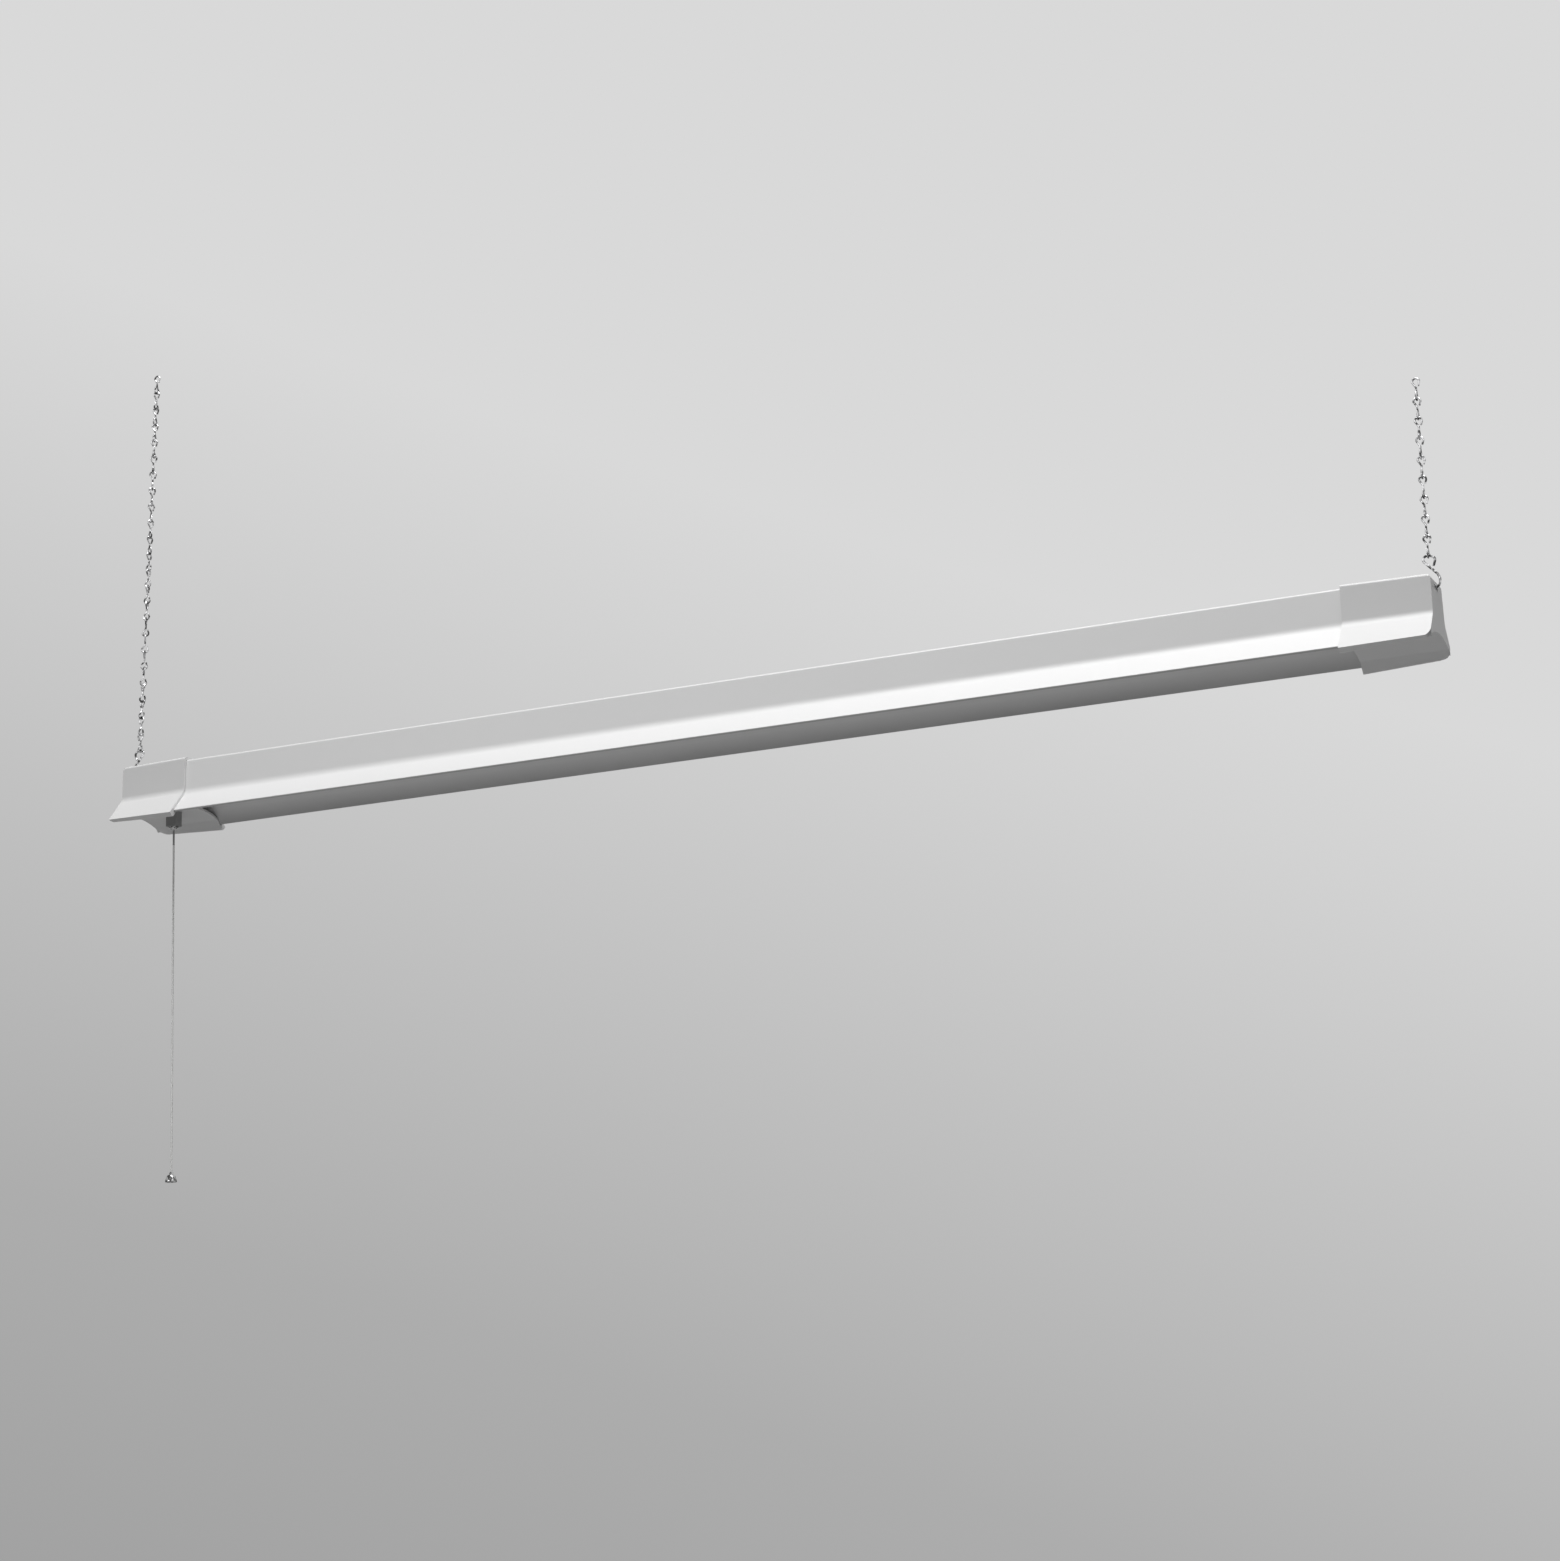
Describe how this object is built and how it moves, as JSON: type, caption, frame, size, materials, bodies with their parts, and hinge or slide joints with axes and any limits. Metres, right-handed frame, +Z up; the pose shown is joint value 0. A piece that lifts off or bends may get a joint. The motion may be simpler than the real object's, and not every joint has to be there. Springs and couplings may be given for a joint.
{
  "type": "hanging shop light",
  "caption": "Long shop light with an open-bottomed white housing and moulded end caps, hung level on jack chains of unequal length, with a pull cord and small bell under its left end",
  "frame": {"origin": "centre of the upper loop of the left chain's top link, where the ceiling hook passes", "axes": "+X along the light from its switch end to the other end, +Y away from the front, +Z up"},
  "size_m": [1.2292, 0.0868, 0.7744],
  "materials": {
    "housing_metal": "satin white paint",
    "cap_plastic": "fine matt moulding",
    "lens_plastic": "frosted, lit from behind",
    "plate_steel": "plain zinc sheet",
    "board_white": "white board mask",
    "chip_plastic": "phosphor face",
    "connector_plastic": "plain",
    "driver_plastic": "plain",
    "lead_rubber": "smooth insulation",
    "bushing_plastic": "moulded",
    "switch_plastic": "moulded",
    "switch_brass": "plated",
    "screw_steel": "zinc plated",
    "stub_plastic": "dark plastic",
    "cord_plastic": "pale cord",
    "bell_chrome": "plated",
    "chain_steel": "bright zinc plate"
  },
  "bodies": {
    "ceiling_link": {"left_chain_top_link": "chain_steel"},
    "hanging_link": {"left_chain_second_link": "chain_steel"},
    "left_hanger": {"left_chain": "chain_steel", "left_hook": "chain_steel"},
    "light": {"housing": "housing_metal", "left_end_cap": "cap_plastic", "right_end_cap": "cap_plastic", "end_cap_screws": "screw_steel", "lens": "lens_plastic", "carrier_plate": "plate_steel", "left_led_board": "board_white", "right_led_board": "board_white", "led_chips": "chip_plastic", "board_connector": "connector_plastic", "led_driver": "driver_plastic", "switch_leads": "lead_rubber", "wire_connectors": "connector_plastic", "supply_leads": "lead_rubber", "lamp_leads": "lead_rubber", "inlet_bushing": "bushing_plastic", "pull_switch_body": "switch_plastic", "switch_bushing": "switch_brass", "switch_nut": "switch_brass"},
    "right_hanger": {"right_hook": "chain_steel", "right_chain": "chain_steel", "right_chain_top_link": "chain_steel"},
    "plunger": {"pull_plunger": "screw_steel"},
    "cord_top_length": {"cord_ferrule": "stub_plastic"},
    "cord_and_bell": {"pull_cord": "cord_plastic", "pull_bell": "bell_chrome"}
  },
  "joints": [
    {"name": "fore_aft_swing", "type": "hinge", "parent": "ceiling_link", "child": "hanging_link", "pos_m": [-0.00058, 0, -0.01319], "axis": [0.9853, 0, -0.1707], "range_deg": [-25, 25]},
    {"name": "endways_swing", "type": "hinge", "parent": "hanging_link", "child": "left_hanger", "pos_m": [-0.00135, 0, -0.03089], "axis": [0, 1, 0], "range_deg": [-8, 8]},
    {"name": "housing_level", "type": "hinge", "parent": "left_hanger", "child": "light", "pos_m": [-0.01902, 0, -0.38653], "axis": [0, 1, 0], "range_deg": [-8, 8]},
    {"name": "right_hook_swing", "type": "hinge", "parent": "light", "child": "right_hanger", "pos_m": [1.19898, 0, -0.38653], "axis": [0, 1, 0], "range_deg": [-17.5, 17.5]},
    {"name": "switch_pull", "type": "slide", "parent": "light", "child": "plunger", "axis": [0, 0, -1], "range_m": [0, 0.008], "stiffness_N_per_m": 300, "springref_m": -0.003},
    {"name": "cord_swing_fore_aft", "type": "hinge", "parent": "plunger", "child": "cord_top_length", "pos_m": [0.02298, 0, -0.44578], "axis": [1, 0, 0], "range_deg": [-30, 30]},
    {"name": "cord_swing_endways", "type": "hinge", "parent": "cord_top_length", "child": "cord_and_bell", "pos_m": [0.02298, 0, -0.45988], "axis": [0, 1, 0], "range_deg": [-30, 30]}
  ],
  "couplings": [
    {"joint": "housing_level", "follows": "endways_swing", "ratio": -0.98378},
    {"joint": "right_hook_swing", "follows": "endways_swing", "ratio": 2.1305}
  ]
}
